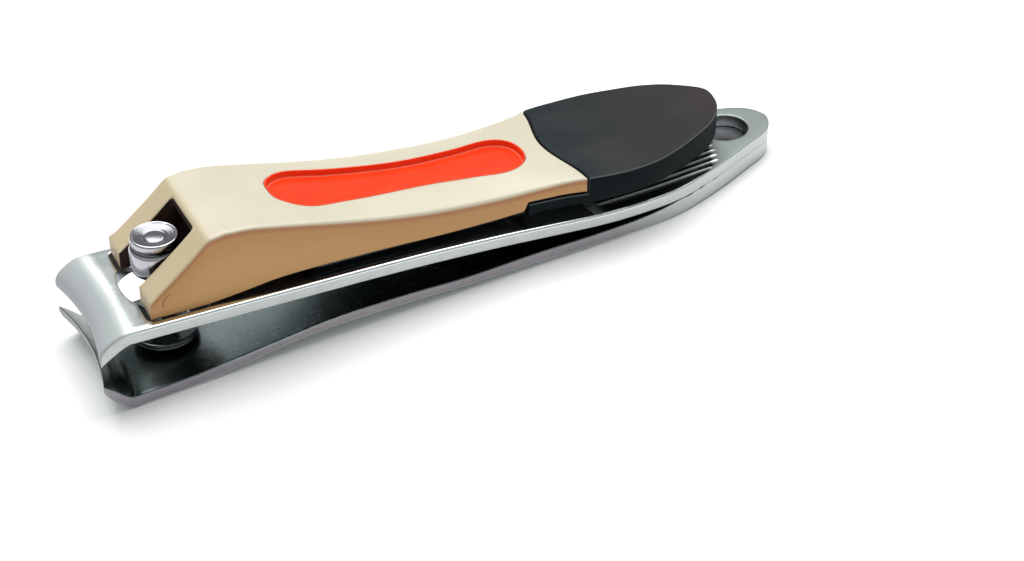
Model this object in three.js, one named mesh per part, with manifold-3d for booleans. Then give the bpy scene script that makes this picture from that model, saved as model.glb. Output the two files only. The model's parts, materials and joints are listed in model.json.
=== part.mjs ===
// Nail clipper with two spring arms, a turning post and a fold-flat thumb lever, lever stowed.
//
// Millimetres, +Z up, +X towards the tail, jaws at -X. Everything is drawn in the clipper's own
// frame: its origin is where the post's axis crosses the upper arm's flat top. The whole clipper
// is then tilted by REST_TILT, so that it lies on a table on its lower jaw and its tail.
import * as THREE from 'three';
import { mergeVertices } from 'three/addons/utils/BufferGeometryUtils.js';
import Module from 'manifold-3d';

const wasm = await Module();
wasm.setup();

// ---------------------------------------------------------------- driving dimensions
const REST_TILT = THREE.MathUtils.degToRad(4.9); // tail-down tilt of the clipper on a table
const REST_X = -3;            // a point of the lower jaw that touches the table
const REST_Z = -8.9;

const JAW_X = -8.8;           // cutting edges, at the arms' two sides
const JAW_BOW = 0.95;          // how far the edges curve back in the middle
const BOW_END_X = -3;         // the bow fades out here
const TAIL_X = 72.65;
const ARM_HALF_WIDTH = 7.7;
const ARM_THICKNESS = 1.45;
const ARM_TOP_Z = 0.1;        // flat top of the upper arm, round the post
const TAIL_SEAM = 0.12;       // gap between the two arms where they meet
const TAIL_HOLE = { x: 67.25, radius: 2.6 };

const POST_HOLE_RADIUS = 4.6; // round opening of the upper arm
const WING_HALF_X = 3.5;      // the opening's side wings, which the lever's legs dip into
const WING_HALF_Y = 7.0;
const WING_CORNER = 1.1;

const HINGE_Z = 2.0;          // the lever's cross pin, on the post's axis
const POST_SHAFT_RADIUS = 1.4;
const POST_HEAD_RADIUS = 2.5;
const POST_TOP_Z = 5.6;
const PIN_RADIUS = 0.6;
const PIN_HALF_LENGTH = 5.6;
const FLANGE = { radius: 2.2, z0: -8.3, z1: -7.9 };    // under the lower arm
const COLLAR = { radius: 3.5, z0: -6.62, z1: -5.85 };  // above the lower arm
const RUNNING_CLEARANCE = 0.3;
const FIT_GAP = 0.1;          // between pieces that are fixed to each other

const NOSE_X = -2.96;         // front of the lever's two legs
const SLOT_HALF_WIDTH = 3.25; // opening between the legs
const SLOT_END_X = 3.1;
const LEVER_BOTTOM_Z = ARM_TOP_Z + RUNNING_CLEARANCE;
const STEP_X = 38.4;          // the cover's lower edge steps up here, over the grip
const GRIP_END_X = 65.5;
const INLAY_DEPTH = 0.7;      // inlay's face below the cover's surface
const INLAY_THICKNESS = 0.7;
const TONGUE = { x0: 14.8, x1: 45, y: 5, z0: 0.7, z1: 2.0 }; // of the grip, under the cover
const SKIRT_Z = 2.5;          // lower edge of the cover where it laps over the grip
const HOLE_SEGMENTS = 32;

// ---------------------------------------------------------------- helpers
const FAR = 60;               // half size of a cutter that is larger than the part

/** A manifold solid from any closed three.js geometry. */
function solid(geometry) {
  const bare = geometry.index ? geometry.toNonIndexed() : geometry;
  bare.deleteAttribute('normal');
  bare.deleteAttribute('uv');
  const merged = mergeVertices(bare, 1e-4);
  return new wasm.Manifold(new wasm.Mesh({
    numProp: 3,
    vertProperties: merged.attributes.position.array,
    triVerts: new Uint32Array(merged.index.array),
  }));
}

/** The geometry of a manifold solid. */
function geometryOf(manifold) {
  const mesh = manifold.getMesh();
  const geometry = new THREE.BufferGeometry();
  geometry.setAttribute('position', new THREE.BufferAttribute(mesh.vertProperties, 3));
  geometry.setIndex(new THREE.BufferAttribute(mesh.triVerts, 1));
  return geometry;
}

/** A smooth function of x through the given [x, value] pairs. */
function smooth(pairs) {
  const curve = new THREE.CubicInterpolant(
    new Float64Array(pairs.map(([x]) => x)), new Float64Array(pairs.map(([, v]) => v)), 1);
  return (x) => curve.evaluate(x)[0];
}

/** Evenly spaced numbers from a to b, both included. */
function range(a, b, steps) {
  return Array.from({ length: steps + 1 }, (_, i) => a + (b - a) * i / steps);
}

/** Points of a smooth curve through a few points. */
function spline(points, steps) {
  return new THREE.SplineCurve(points.map(([x, y]) => new THREE.Vector2(x, y))).getPoints(steps)
    .map((p) => [p.x, p.y]);
}

function shapeOf(points) {
  return new THREE.Shape(points.map(([x, y]) => new THREE.Vector2(x, y)));
}

/** A plan outline [x, y] made into a prism between two heights. */
function planPrism(points, z0, z1) {
  const geometry = new THREE.ExtrudeGeometry(shapeOf(points), {
    depth: z1 - z0, bevelEnabled: false });
  return solid(geometry.translate(0, 0, z0));
}

/** A side outline [x, z] made into a prism across the whole width, in a few steps. */
function sideExtrusion(points, halfWidth, steps) {
  const geometry = new THREE.ExtrudeGeometry(shapeOf(points), {
    depth: 2 * halfWidth, steps, bevelEnabled: false });
  return geometry.rotateX(Math.PI / 2).translate(0, halfWidth, 0);
}

function sidePrism(points, halfWidth) {
  return solid(sideExtrusion(points, halfWidth, 1));
}

/** A half outline, from x low to x high at +y, closed by its mirror image. */
function mirrored(half) {
  const back = half.filter(([, y]) => Math.abs(y) > 1e-6).map(([x, y]) => [x, -y]).reverse();
  return [...back, ...half];
}

function cylinderZ(x, radius, z0, z1, segments = HOLE_SEGMENTS) {
  const geometry = new THREE.CylinderGeometry(radius, radius, z1 - z0, segments);
  return solid(geometry.rotateX(Math.PI / 2).translate(x, 0, (z0 + z1) / 2));
}

function cylinderY(radius, halfLength, z, segments = 20) {
  return solid(new THREE.CylinderGeometry(radius, radius, 2 * halfLength, segments)
    .translate(0, 0, z));
}

function box(x0, x1, y0, y1, z0, z1) {
  return solid(new THREE.BoxGeometry(x1 - x0, y1 - y0, z1 - z0)
    .translate((x0 + x1) / 2, (y0 + y1) / 2, (z0 + z1) / 2));
}

function fromProfile(profile, segments) {
  const points = profile.map(([r, z]) => new THREE.Vector2(r, z));
  return solid(new THREE.LatheGeometry(points, segments).rotateX(Math.PI / 2));
}

/** Joins equal rings of points, one for each station, into a closed solid. */
function loft(rings) {
  const n = rings[0].length;
  const index = [];
  for (let i = 0; i + 1 < rings.length; i++) {
    for (let k = 0; k < n; k++) {
      const [a, b] = [i * n + k, i * n + (k + 1) % n];
      index.push(a, b, b + n, a, b + n, a + n);
    }
  }
  const last = (rings.length - 1) * n;
  for (let k = 1; k + 1 < n; k++) {
    index.push(0, k + 1, k, last, last + k, last + k + 1);
  }
  const geometry = new THREE.BufferGeometry();
  geometry.setAttribute('position', new THREE.Float32BufferAttribute(rings.flat(2), 3));
  geometry.setIndex(index);
  return solid(geometry);
}

// ---------------------------------------------------------------- the two arms
/** Height of the table under the clipper, in the clipper's own frame. */
const tableZ = (x) => REST_Z + Math.tan(REST_TILT) * (x - REST_X);

/** Top of the upper arm behind its flat part: a shallow dip, then up to the tail. */
const upperTopZ = smooth([[20, ARM_TOP_Z], [27, 0.02], [35, -0.2], [42, -0.5], [48, -0.7],
  [54, -0.5], [60, -0.02], [66, 0.5], [TAIL_X, 0.92]]);

/** Plan outline that both arms share: parallel sides, then a spindle to a rounded tail. */
function armPlan() {
  const side = spline([[JAW_X - 1, ARM_HALF_WIDTH], [20, ARM_HALF_WIDTH], [35, 7.85], [47, 8.1],
    [53, 8.08], [57, 7.78], [60, 7.05], [64, 5.75], [68, 4.15], [70.5, 3.1], [71.95, 2.0],
    [TAIL_X, 0]], 44);
  return planPrism(mirrored(side), -FAR, FAR);
}

/** Bows the jaw back in the middle, as its edge and its bend are curved in plan. */
function bowJaw(geometry) {
  const position = geometry.attributes.position;
  for (let i = 0; i < position.count; i++) {
    const [x, y] = [position.getX(i), position.getY(i)];
    const fade = THREE.MathUtils.smoothstep(BOW_END_X - x, 0, 3);
    const across = Math.max(0, 1 - (y / ARM_HALF_WIDTH) ** 2);
    position.setX(i, x + JAW_BOW * across * fade);
  }
  return geometry;
}

function arm(sideOutline) {
  const JAW_STEPS = 12;
  const extruded = sideExtrusion(sideOutline, ARM_HALF_WIDTH + 0.6, JAW_STEPS);
  return solid(bowJaw(extruded)).intersect(armPlan());
}

/** The opening of the upper arm: a round hole for the post, with a wing under each leg. */
function postOpening() {
  const [w, h, r] = [WING_HALF_X, WING_HALF_Y, WING_CORNER];
  const wings = new THREE.Shape();
  wings.moveTo(-w, -h + r).absarc(-w + r, -h + r, r, Math.PI, 1.5 * Math.PI);
  wings.absarc(w - r, -h + r, r, 1.5 * Math.PI, 2 * Math.PI);
  wings.absarc(w - r, h - r, r, 0, 0.5 * Math.PI);
  wings.absarc(-w + r, h - r, r, 0.5 * Math.PI, Math.PI);
  const outline = wings.extractPoints(5).shape.map((p) => [p.x, p.y]);
  return planPrism(outline, -3, 3).add(cylinderZ(0, POST_HOLE_RADIUS, -3, 3));
}

/** File recess in the upper arm's top: lengthwise grooves that leave sharp ridges. */
function fileGrooves() {
  const [x0, x1, pitch, count, groove, depth] = [54, 63.7, 0.93, 13, 0.6, 0.35];
  let cutter = null;
  for (let i = 0; i < count; i++) {
    const y = (i - (count - 1) / 2) * pitch;
    // the grooves end on an arc, and the outer ones short of the arm's narrowing edge
    const end = Math.min(x1 - 0.045 * y * y, 60 + (6.25 - Math.abs(y)) / 0.325);
    const foot = [0, 0.5, 1].map((t) => x0 + 1 + t * (end - x0 - 1));
    const outline = [[x0, 2], [x0, upperTopZ(x0)], ...foot.map((x) => [x, upperTopZ(x) - depth]),
      [end, 2]];
    const slot = sidePrism(outline, groove / 2).translate([0, y, 0]);
    cutter = cutter ? cutter.add(slot) : slot;
  }
  return cutter;
}

function upperArm() {
  const back = range(20, TAIL_X + 0.5, 22);
  const outline = [
    [JAW_X, -2.95], [-8.62, -2.3], [-8.25, -1.6], [-7.7, -0.85], [-7.0, -0.25], [-6.3, 0.03],
    [-5.6, ARM_TOP_Z],
    ...back.map((x) => [x, upperTopZ(x)]),
    ...back.reverse().map((x) => [x, upperTopZ(x) - ARM_THICKNESS]),
    [-5.6, ARM_TOP_Z - ARM_THICKNESS], [-6.4, -1.5], [-7.2, -1.95], [-7.95, -2.5], [-8.6, -3.0],
  ];
  return arm(outline)
    .subtract(postOpening())
    .subtract(fileGrooves())
    .subtract(cylinderZ(TAIL_HOLE.x, TAIL_HOLE.radius, -FAR, FAR));
}

function lowerArm() {
  // the top meets the upper arm's underside at the tail
  const seamZ = (x) => upperTopZ(x) - ARM_THICKNESS - TAIL_SEAM;
  const tail = range(57, TAIL_X + 0.5, 8);
  const floor = spline([[-5.9, -7.72], [-1, -7.35], [3.3, -6.85], [10.3, -5.75], [15.2, -5.0],
    [23.3, -4.45], [31, -4.28], [39.4, -3.55], [47, -3.05], [53, -2.5], [57, seamZ(57)]], 26);
  const under = spline([[49, tableZ(49)], [39.4, -4.85], [31, -5.4], [23.3, -5.62],
    [15.1, -6.05], [10.2, -6.75], [5.4, -7.68], [0, tableZ(0)]], 20);
  const outline = [
    [JAW_X, -5.45], [-8.6, -5.5], [-7.95, -6.15], [-7.3, -6.75], [-6.6, -7.35],
    ...floor, ...tail.slice(1).map((x) => [x, seamZ(x)]),
    [TAIL_X + 0.5, tableZ(TAIL_X + 0.5)], ...under,
    [REST_X, REST_Z], [-5.2, -8.95], [-6.5, -8.8], [-7.3, -8.25], [-7.95, -7.55],
    [-8.45, -6.85], [JAW_X, -6.1],
  ];
  const bore = cylinderZ(0, POST_SHAFT_RADIUS + RUNNING_CLEARANCE, -FAR, FAR);
  const recess = cylinderZ(0, FLANGE.radius + RUNNING_CLEARANCE, -FAR, FLANGE.z1 + 0.05);
  return arm(outline).subtract(bore).subtract(recess)
    .subtract(cylinderZ(TAIL_HOLE.x, TAIL_HOLE.radius, -FAR, FAR));
}

// ---------------------------------------------------------------- post
/** Turned post: flange under the lower arm, shaft, tapered head with the cross-pin bore. */
function post() {
  const [r, top] = [POST_HEAD_RADIUS, POST_TOP_Z];
  const profile = [
    [0, FLANGE.z0], [FLANGE.radius, FLANGE.z0], [FLANGE.radius, FLANGE.z1],
    [POST_SHAFT_RADIUS, FLANGE.z1], [POST_SHAFT_RADIUS, 0.75], [2.35, 1.4], [2.65, 1.75],
    [2.7, 3.9], [2.25, 4.35], [2.25, 4.55], [r, top - 0.7], [r, top - 0.2], [r - 0.2, top], [0, top],
  ];
  return fromProfile(profile, HOLE_SEGMENTS)
    .subtract(cylinderY(PIN_RADIUS + FIT_GAP, FAR, HINGE_Z));
}

/** Ring pressed on the shaft above the lower arm, which keeps the post from dropping out. */
function postCollar() {
  const [inner, outer] = [POST_SHAFT_RADIUS + FIT_GAP, COLLAR.radius];
  const profile = [[inner, COLLAR.z0], [outer - 0.15, COLLAR.z0], [outer, COLLAR.z0 + 0.15],
    [outer, COLLAR.z1 - 0.15], [outer - 0.15, COLLAR.z1], [inner, COLLAR.z1],
    [inner, COLLAR.z0]];
  return fromProfile(profile, HOLE_SEGMENTS);
}

// ---------------------------------------------------------------- lever
const NOSE_RIDGE = [3.5, 7.66]; // top of the nose's sloping face
const HUMP = [5.5, 8.0];         // highest line of the lever

const backTopZ = smooth([HUMP, [8, 7.86], [10.5, 7.37], [13, 6.84], [18, 5.76], [23, 4.84],
  [28, 4.22], [35.5, 3.8], [40.5, 3.95], [45.3, 4.2], [50, 4.17], [55, 4.4], [60, 4.95],
  [GRIP_END_X + 1, 5.35]]);

/** Height of the lever's top edges along its length. */
function leverTopZ(x) {
  if (x >= HUMP[0]) return backTopZ(x);
  const [a, b] = x < NOSE_RIDGE[0] ? [[NOSE_X, 2.15], NOSE_RIDGE] : [NOSE_RIDGE, HUMP];
  return THREE.MathUtils.mapLinear(x, a[0], b[0], a[1], b[1]);
}

/** How much higher the top is in the middle than at its edges; a little lower on the grip. */
const crown = smooth([[NOSE_X, 0], [2, 0], [HUMP[0], 0], [8, 0.15], [14, 0.6], [19, 0.82],
  [25, 1.05], [36, 1.1], [40, 0.85], [43, 0.4], [47, 0.0], [52, -0.1], [60, -0.1], [GRIP_END_X + 1, 0]]);

const coverHalfWidth = smooth([[NOSE_X, 6.66], [10, 6.58], [20, 6.63], [28, 6.8], [35.5, 6.9],
  [40.5, 7.15], [43, 7.37], [46, 7.95], [48.5, 8.2], [51, 8.25], [53.5, 8.05], [56, 7.45],
  [60, 6.0], [62.5, 4.75], [64.5, 3.1], [GRIP_END_X, 0.9]]);

/** Lower edge of the cover, then of the grip. */
const coverBottomZ = smooth([[NOSE_X, LEVER_BOTTOM_Z], [2, LEVER_BOTTOM_Z], [7.3, 0.65],
  [13, 1.15], [20, 1.2], [35, 1.25], [STEP_X, 1.5]]);
const gripBottomZ = smooth([[14, 0.75], [38, 0.7], [46, 0.8], [52, 1.05], [58, 1.35],
  [GRIP_END_X, 1.55]]);

/** The lever's outer body between two stations, its crowned top lowered by sink. */
function leverBody(stations, bottomZ, sink = 0) {
  const ACROSS = [1, 0.72, 0.4, 0, -0.4, -0.72, -1];
  const rings = stations.map((x) => {
    const [w, z, c, low] = [coverHalfWidth(x), leverTopZ(x) - sink, crown(x), bottomZ(x)];
    const top = ACROSS.map((t) => [x, t * w, z + c * (1 - t * t)]);
    return [[x, w, low], ...top, [x, -w, low]];
  });
  return loft(rings);
}

/** Everything above z0 in front of the ogee-curved line where the cover ends. */
function frontOfOgee(offset, z0) {
  const ogee = range(-9, 9, 24).map((y) => [44.45 - 0.75 * Math.cos(Math.PI * y / 7.8), y]);
  return planPrism([[-FAR, -9], ...ogee.map(([x, y]) => [x + offset, y]), [-FAR, 9]], z0, FAR);
}

/** Inlay outline: a bar with two swelling round ends, made smaller all round by inset. */
function inlayPlan(inset) {
  const half = spline([[12.2, 0], [12.75, 2.1], [15.4, 3.7], [20, 3.35], [28, 2.78], [34, 3.05],
    [38.2, 3.42], [40.6, 2.25], [41.3, 0]], 30);
  const outline = wasm.CrossSection.ofPolygons([mirrored(half)], 'NonZero');
  return planPrism(outline.offset(-inset, 'Miter').toPolygons()[0], 0, FAR);
}

const COVER_STATIONS = [NOSE_X, 2, NOSE_RIDGE[0], HUMP[0], 6.6, 8, 10, ...range(13, 37, 8),
  38.3, 40, 42, 43.5, 45, 46.5];

/** Painted cover: two legs, hump, crowned back with the inlay's pocket, hollow underneath. */
function leverCover() {
  const pocket = inlayPlan(0).subtract(
    leverBody(COVER_STATIONS, () => -1, INLAY_DEPTH + INLAY_THICKNESS + FIT_GAP));
  const slot = box(-FAR, 5.4, -SLOT_HALF_WIDTH, SLOT_HALF_WIDTH, -1, 6.3)
    .add(box(-FAR, SLOT_END_X, -SLOT_HALF_WIDTH, SLOT_HALF_WIDTH, -1, 9))
    .add(box(5, 12.5, -SLOT_HALF_WIDTH, SLOT_HALF_WIDTH, -1, 4.4));
  return leverBody(COVER_STATIONS, (x) => coverBottomZ(Math.min(x, STEP_X)))
    .intersect(frontOfOgee(0, -1))
    .subtract(slot)
    .subtract(box(TONGUE.x0 - 0.3, STEP_X, -TONGUE.y - 0.3, TONGUE.y + 0.3, -1, TONGUE.z1 + 0.3))
    .subtract(box(STEP_X, FAR, -FAR, FAR, -1, SKIRT_Z))
    .subtract(pocket)
    .subtract(cylinderY(PIN_RADIUS + FIT_GAP, PIN_HALF_LENGTH + FIT_GAP, HINGE_Z));
}

/** Steel cross pin: fixed in the legs, turning in the post's bore. */
function crossPin() {
  return cylinderY(PIN_RADIUS, PIN_HALF_LENGTH, HINGE_Z);
}

/** Glossy plastic bar that lies in the cover's pocket. */
function inlay() {
  return inlayPlan(FIT_GAP)
    .intersect(leverBody(COVER_STATIONS, () => -1, INLAY_DEPTH))
    .subtract(leverBody(COVER_STATIONS, () => -2, INLAY_DEPTH + INLAY_THICKNESS));
}

/** Thumb grip: full width behind the cover, with a tongue that fills the cover from below. */
function thumbGrip() {
  const stations = [STEP_X + 0.25, 42, ...range(45, 61, 8), 62.7, 64, 65, GRIP_END_X];
  const tongue = box(TONGUE.x0, TONGUE.x1, -TONGUE.y, TONGUE.y, TONGUE.z0, TONGUE.z1);
  return leverBody(stations, gripBottomZ)
    .subtract(frontOfOgee(0.25, 2.25))
    .add(tongue);
}

// ---------------------------------------------------------------- assembly
const chrome = { color: 0xc9cdd0, metalness: 1.0, roughness: 0.12 };
const steel = { color: 0xb4b8bb, metalness: 1.0, roughness: 0.3 };

const PIECES = {
  lower_arm: [lowerArm, chrome],
  upper_arm: [upperArm, chrome],
  post: [post, chrome],
  post_collar: [postCollar, steel],
  lever_cover: [leverCover, { color: 0xe2d5b4, metalness: 0.2, roughness: 0.42 }],
  lever_cross_pin: [crossPin, steel],
  lever_inlay: [inlay, { color: 0xf2481c, metalness: 0.0, roughness: 0.25 }],
  lever_grip: [thumbGrip, { color: 0x3a3b3c, metalness: 0.0, roughness: 0.6 }],
};

const clipper = new THREE.Group();
for (const [name, [make, look]] of Object.entries(PIECES)) {
  const mesh = new THREE.Mesh(geometryOf(make()), new THREE.MeshStandardMaterial(look));
  mesh.name = name;
  clipper.add(mesh);
}

// tilted on to the table, then set down with its box centred over the origin
clipper.rotation.y = REST_TILT;
clipper.updateMatrixWorld(true);
const bounds = new THREE.Box3().setFromObject(clipper, true);
const middle = bounds.getCenter(new THREE.Vector3());
clipper.position.set(-middle.x, -middle.y, -bounds.min.z);

const model = new THREE.Group();
model.add(clipper);

export default model;
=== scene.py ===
"""Looks of a lever nail clipper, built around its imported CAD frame.

Shapes are drawn in millimetres in the clipper's own frame, as in the CAD: origin where the post's
axis crosses the flat of the upper arm, +X to the tail. TO_FRAME takes them to the row frame.
"""
import json
import math

import bmesh
import bpy
import numpy as np
from mathutils import Matrix, Vector
from mathutils.geometry import delaunay_2d_cdt


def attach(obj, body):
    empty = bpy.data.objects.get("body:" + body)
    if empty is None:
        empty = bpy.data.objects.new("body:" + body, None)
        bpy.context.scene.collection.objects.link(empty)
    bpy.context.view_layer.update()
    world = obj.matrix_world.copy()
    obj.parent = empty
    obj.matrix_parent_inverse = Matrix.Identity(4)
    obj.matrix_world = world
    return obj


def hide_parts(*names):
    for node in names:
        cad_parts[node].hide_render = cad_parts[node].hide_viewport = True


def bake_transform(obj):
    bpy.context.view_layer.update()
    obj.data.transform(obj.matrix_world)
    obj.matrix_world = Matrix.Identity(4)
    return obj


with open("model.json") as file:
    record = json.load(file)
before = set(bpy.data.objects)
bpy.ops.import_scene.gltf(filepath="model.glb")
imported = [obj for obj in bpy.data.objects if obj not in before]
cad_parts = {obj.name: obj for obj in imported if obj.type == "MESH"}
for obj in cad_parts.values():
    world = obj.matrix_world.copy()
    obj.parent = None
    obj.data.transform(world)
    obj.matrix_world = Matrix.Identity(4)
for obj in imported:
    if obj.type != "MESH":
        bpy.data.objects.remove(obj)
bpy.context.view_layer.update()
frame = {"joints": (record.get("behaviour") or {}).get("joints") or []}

JOINTS = {j["name"]: j for j in frame["joints"]}
POST_AXIS = Vector(JOINTS["post_turn"]["axis"])
TO_FRAME = (Matrix.Translation(Vector(JOINTS["post_turn"]["pos_m"]))
            @ Matrix.Rotation(math.atan2(POST_AXIS.x, POST_AXIS.z), 4, "Y")
            @ Matrix.Scale(0.001, 4))

# ------------------------------------------------------------------ dimensions, as in the CAD
REST_TILT = math.radians(4.9)
REST_X, REST_Z = -3.0, -8.9
JAW_X, JAW_BOW, BOW_END_X = -8.8, 0.95, -3.0
FLAT_X = -5.6                 # the upper jaw bends down in front of here
LOWER_FLAT_X = -5.2           # and the lower jaw up in front of here
TAIL_X = 72.65
ARM_HALF_WIDTH = 7.7
ARM_THICKNESS = 1.45
ARM_TOP_Z = 0.1
HOLE_X, HOLE_R = 67.25, 2.6
HINGE_Z = 2.0
NOSE_X, SLOT_Y = -2.96, 3.25
SLOT_X = 3.2                  # the slot between the legs ends here
STEP_X = 38.4
GRIP_END_X = 65.5
GRIP_GAP = 0.25               # between the cover's end and the grip
INLAY_FLOOR, INLAY_BOTTOM = 0.78, 1.4      # the dish's two faces, below the lever's top
STEP_SIDE = 0.015             # half the width of a sharp step in a height function
GRID_MARGIN = 0.12            # grid points keep this far from the rings and chains of a filled face


# ------------------------------------------------------------------ curves
def smooth(pairs):
    """A smooth function of x through the given (x, value) pairs."""
    xs, vs = np.array(pairs, float).T
    last = len(xs) - 1

    def f(x):
        x = np.clip(np.asarray(x, float), xs[0], xs[-1])
        b = np.clip(np.searchsorted(xs, x, side="right"), 1, last)
        a = b - 1
        before = np.where(a > 0, xs[a - 1], xs[b]), np.where(a > 0, vs[a - 1], vs[b])
        c = np.minimum(b + 1, last)
        after = np.where(b < last, xs[c], xs[a]), np.where(b < last, vs[c], vs[a])
        half = (xs[b] - xs[a]) / 2
        wp, wn = half / (xs[a] - before[0]), half / (after[0] - xs[b])
        t = (x - xs[a]) / (xs[b] - xs[a])
        t2, t3 = t * t, t * t * t
        return ((-wp * t3 + 2 * wp * t2 - wp * t) * before[1]
                + ((1 + wp) * t3 + (-1.5 - 2 * wp) * t2 + (wp - 0.5) * t + 1) * vs[a]
                + ((-1 - wn) * t3 + (1.5 + wn) * t2 + 0.5 * t) * vs[b]
                + (wn * t3 - wn * t2) * after[1])

    return f


def curve(points, spacing=0.35):
    """Points along a Catmull-Rom curve through a few points."""
    p = np.array(points, float)
    out = []
    for i in range(len(p) - 1):
        a, b, c, d = p[max(i - 1, 0)], p[i], p[i + 1], p[min(i + 2, len(p) - 1)]
        n = max(1, int(np.ceil(np.linalg.norm(c - b) / spacing)))
        t = (np.arange(n) / n)[:, None]
        v0, v1 = (c - a) / 2, (d - b) / 2
        out.append((2 * b - 2 * c + v0 + v1) * t ** 3 + (-3 * b + 3 * c - 2 * v0 - v1) * t ** 2
                   + v0 * t + b)
    return np.vstack(out + [p[-1:]])


def dense(loop, spacing=0.35):
    """A closed loop with its long edges divided; its own points all stay."""
    loop = np.asarray(loop, float)
    loop = loop[np.linalg.norm(loop - np.roll(loop, 1, 0), axis=1) > 0.02]
    out = []
    for a, b in zip(loop, np.roll(loop, -1, 0)):
        n = max(1, int(np.ceil(np.linalg.norm(b - a) / spacing)))
        out.append(a + (b - a) * (np.arange(n) / n)[:, None])
    return np.vstack(out)


def arc(cx, cy, r, a0, a1, n):
    t = np.radians(np.linspace(a0, a1, n))
    return np.stack([cx + r * np.cos(t), cy + r * np.sin(t)], 1)


def lengths(line):
    return np.concatenate([[0], np.cumsum(np.linalg.norm(np.diff(line, axis=0), axis=1))])


def along(line, share):
    """Points at the given shares of a line's length."""
    s = lengths(line)
    return np.stack([np.interp(share * s[-1], s, line[:, k]) for k in (0, 1)], -1)


def smoothstep(t):
    t = np.clip(t, 0, 1)
    return t * t * (3 - 2 * t)


def softened(f, half, samples=7):
    """f with its creases rounded over a length of 2 * half."""
    return lambda x: np.mean([f(np.asarray(x, float) + half * k) for k in np.linspace(-1, 1, samples)], 0)


# ------------------------------------------------------------------ mesh building
def inset(loop, distance):
    """The loop moved to its left, which is the side of the material, by one distance for each point."""
    d = np.roll(loop, -1, 0) - loop
    d /= np.linalg.norm(d, axis=1)[:, None]
    n1 = np.stack([-d[:, 1], d[:, 0]], 1)
    n0 = np.roll(n1, 1, 0)
    mitre = (n0 + n1) / (1 + np.sum(n0 * n1, 1))[:, None]
    return loop + mitre * np.broadcast_to(distance, len(loop))[:, None]


def eased(loop, radius, least=0.05):
    """The radius at each point, less near the loop's outward corners, so that inset rings don't cross."""
    d = np.roll(loop, -1, 0) - loop
    a = np.arctan2(d[:, 1], d[:, 0])
    turn = (a - np.roll(a, 1) + math.pi) % (2 * math.pi) - math.pi
    radius = np.array(np.broadcast_to(radius, len(loop)), float)
    for corner in loop[turn > math.radians(30)]:
        radius = np.minimum(radius, least + 0.5 * np.linalg.norm(loop - corner, axis=1))
    return radius


def inside(points, polygons):
    """Whether each point is in the region that the polygons bound, holes among them."""
    odd = np.zeros(len(points), bool)
    x, y = points[:, 0], points[:, 1]
    for polygon in polygons:
        for (x0, y0), (x1, y1) in zip(polygon, np.roll(polygon, -1, 0)):
            if y0 != y1:
                crosses = (y0 > y) != (y1 > y)
                odd ^= crosses & (x < (x1 - x0) * (y - y0) / (y1 - y0) + x0)
    return odd


def outside_holes(faces, origin, sizes):
    """The triangles that don't lie in a hole. sizes are the rings' point counts, the outer ring's first."""
    made = {i: v for v, o in enumerate(origin) for i in o}
    walls, holed, start = set(), set(), 0
    for k, n in enumerate(sizes):
        for i in range(n):
            a, b = made[start + i], made[start + (i + 1) % n]
            walls.add((a, b))
            walls.add((b, a))
            if k:
                holed.add((b, a))       # the hole is to the right of its ring
        start += n
    owner = {}
    for k, f in enumerate(faces):
        for i in range(3):
            owner[f[i], f[(i + 1) % 3]] = k
    gone = {owner[e] for e in holed if e in owner}
    front = list(gone)
    while front:
        f = faces[front.pop()]
        for i in range(3):
            back = f[(i + 1) % 3], f[i]
            k = owner.get(back)
            if k is not None and k not in gone and back not in walls:
                gone.add(k)
                front.append(k)
    return [f for k, f in enumerate(faces) if k not in gone]


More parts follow.
